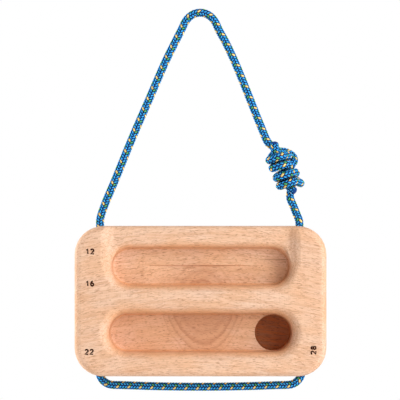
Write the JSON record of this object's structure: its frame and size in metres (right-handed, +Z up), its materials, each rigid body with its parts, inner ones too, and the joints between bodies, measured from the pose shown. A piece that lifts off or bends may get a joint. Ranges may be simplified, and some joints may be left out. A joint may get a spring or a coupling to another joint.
{
  "type": "lifting edge block",
  "caption": "Hand-held wooden finger-training block with rounded edge pockets and a one-finger hole, hung from a knotted cord loop.",
  "frame": {"origin": "the hang point, on the inner side of the cord loop's apex, where a hook, pin or carabiner would carry it", "axes": "+Z up from the block toward the hang point, +X along the pockets with the one-finger hole on the +X side, the pockets open toward -Y"},
  "size_m": [0.176, 0.058, 0.2683],
  "materials": {
    "beech": "sanded and lightly oiled, satin",
    "cord_sheath": "braided sheath, blue with yellow and dark flecks"
  },
  "bodies": {
    "cord_loop": {"cord_upper_loop": "cord_sheath", "knot_lower_barrel": "cord_sheath", "knot_upper_barrel": "cord_sheath", "cord_right_leg": "cord_sheath"},
    "block": {"edge_block": "beech", "cord_underside_run": "cord_sheath"}
  },
  "joints": [
    {"name": "block_tilt", "type": "hinge", "parent": "cord_loop", "child": "block", "pos_m": [0, 0, -0.14325], "axis": [1, 0, 0], "range_deg": [-55, 55]}
  ]
}
